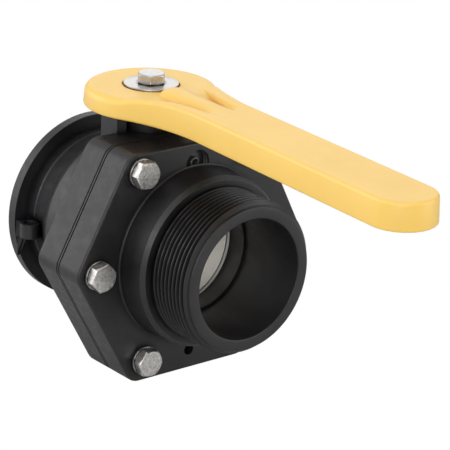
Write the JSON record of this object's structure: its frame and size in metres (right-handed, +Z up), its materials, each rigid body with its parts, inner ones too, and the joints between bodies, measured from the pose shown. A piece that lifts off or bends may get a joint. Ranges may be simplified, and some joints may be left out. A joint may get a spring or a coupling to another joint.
{
  "type": "flanged ball valve",
  "caption": "Quarter-turn plastic ball valve with a round flange at one end, a male pipe thread at the other, a bolted two-piece body and a yellow lever.",
  "frame": {"origin": "centre of the flow bore in the flange's rear face", "axes": "+X along the flow towards the pipe thread, +Z up along the stem towards the handle, +Y completes a right-handed set"},
  "size_m": [0.2028, 0.1066, 0.1119],
  "materials": {
    "black_plastic": "moulded, satin, fine grain",
    "yellow_plastic": "moulded, soft satin",
    "ball_plastic": "polished moulding",
    "stem_plastic": "moulded, smooth",
    "seat_plastic": "machined, waxy white",
    "seal_rubber": "smooth rubber",
    "stainless": "bright, cold-formed"
  },
  "bodies": {
    "body": {"flange_body": "black_plastic", "threaded_end": "black_plastic", "stem_thrust_washer": "seat_plastic", "seat_ring_rear": "seat_plastic", "seat_ring_front": "seat_plastic", "body_oring": "seal_rubber", "seat_oring_rear": "seal_rubber", "seat_oring_front": "seal_rubber", "body_bolt_1": "stainless", "body_bolt_2": "stainless", "body_bolt_3": "stainless", "body_bolt_4": "stainless", "body_bolt_5": "stainless", "body_bolt_6": "stainless", "body_washer_1": "stainless", "body_washer_2": "stainless", "body_washer_3": "stainless", "body_washer_4": "stainless", "body_washer_5": "stainless", "body_washer_6": "stainless", "body_nut_1": "stainless", "body_nut_2": "stainless", "body_nut_3": "stainless", "body_nut_4": "stainless", "body_nut_5": "stainless", "body_nut_6": "stainless"},
    "turning": {"ball": "ball_plastic", "stem": "stem_plastic", "stem_oring_lower": "seal_rubber", "stem_oring_upper": "seal_rubber", "handle": "yellow_plastic", "handle_washer": "stainless", "handle_bolt": "stainless"}
  },
  "joints": [
    {"name": "quarter_turn", "type": "hinge", "parent": "body", "child": "turning", "pos_m": [0.03966, 0, 0], "axis": [0, 0, 1], "range_deg": [0, 90]}
  ]
}
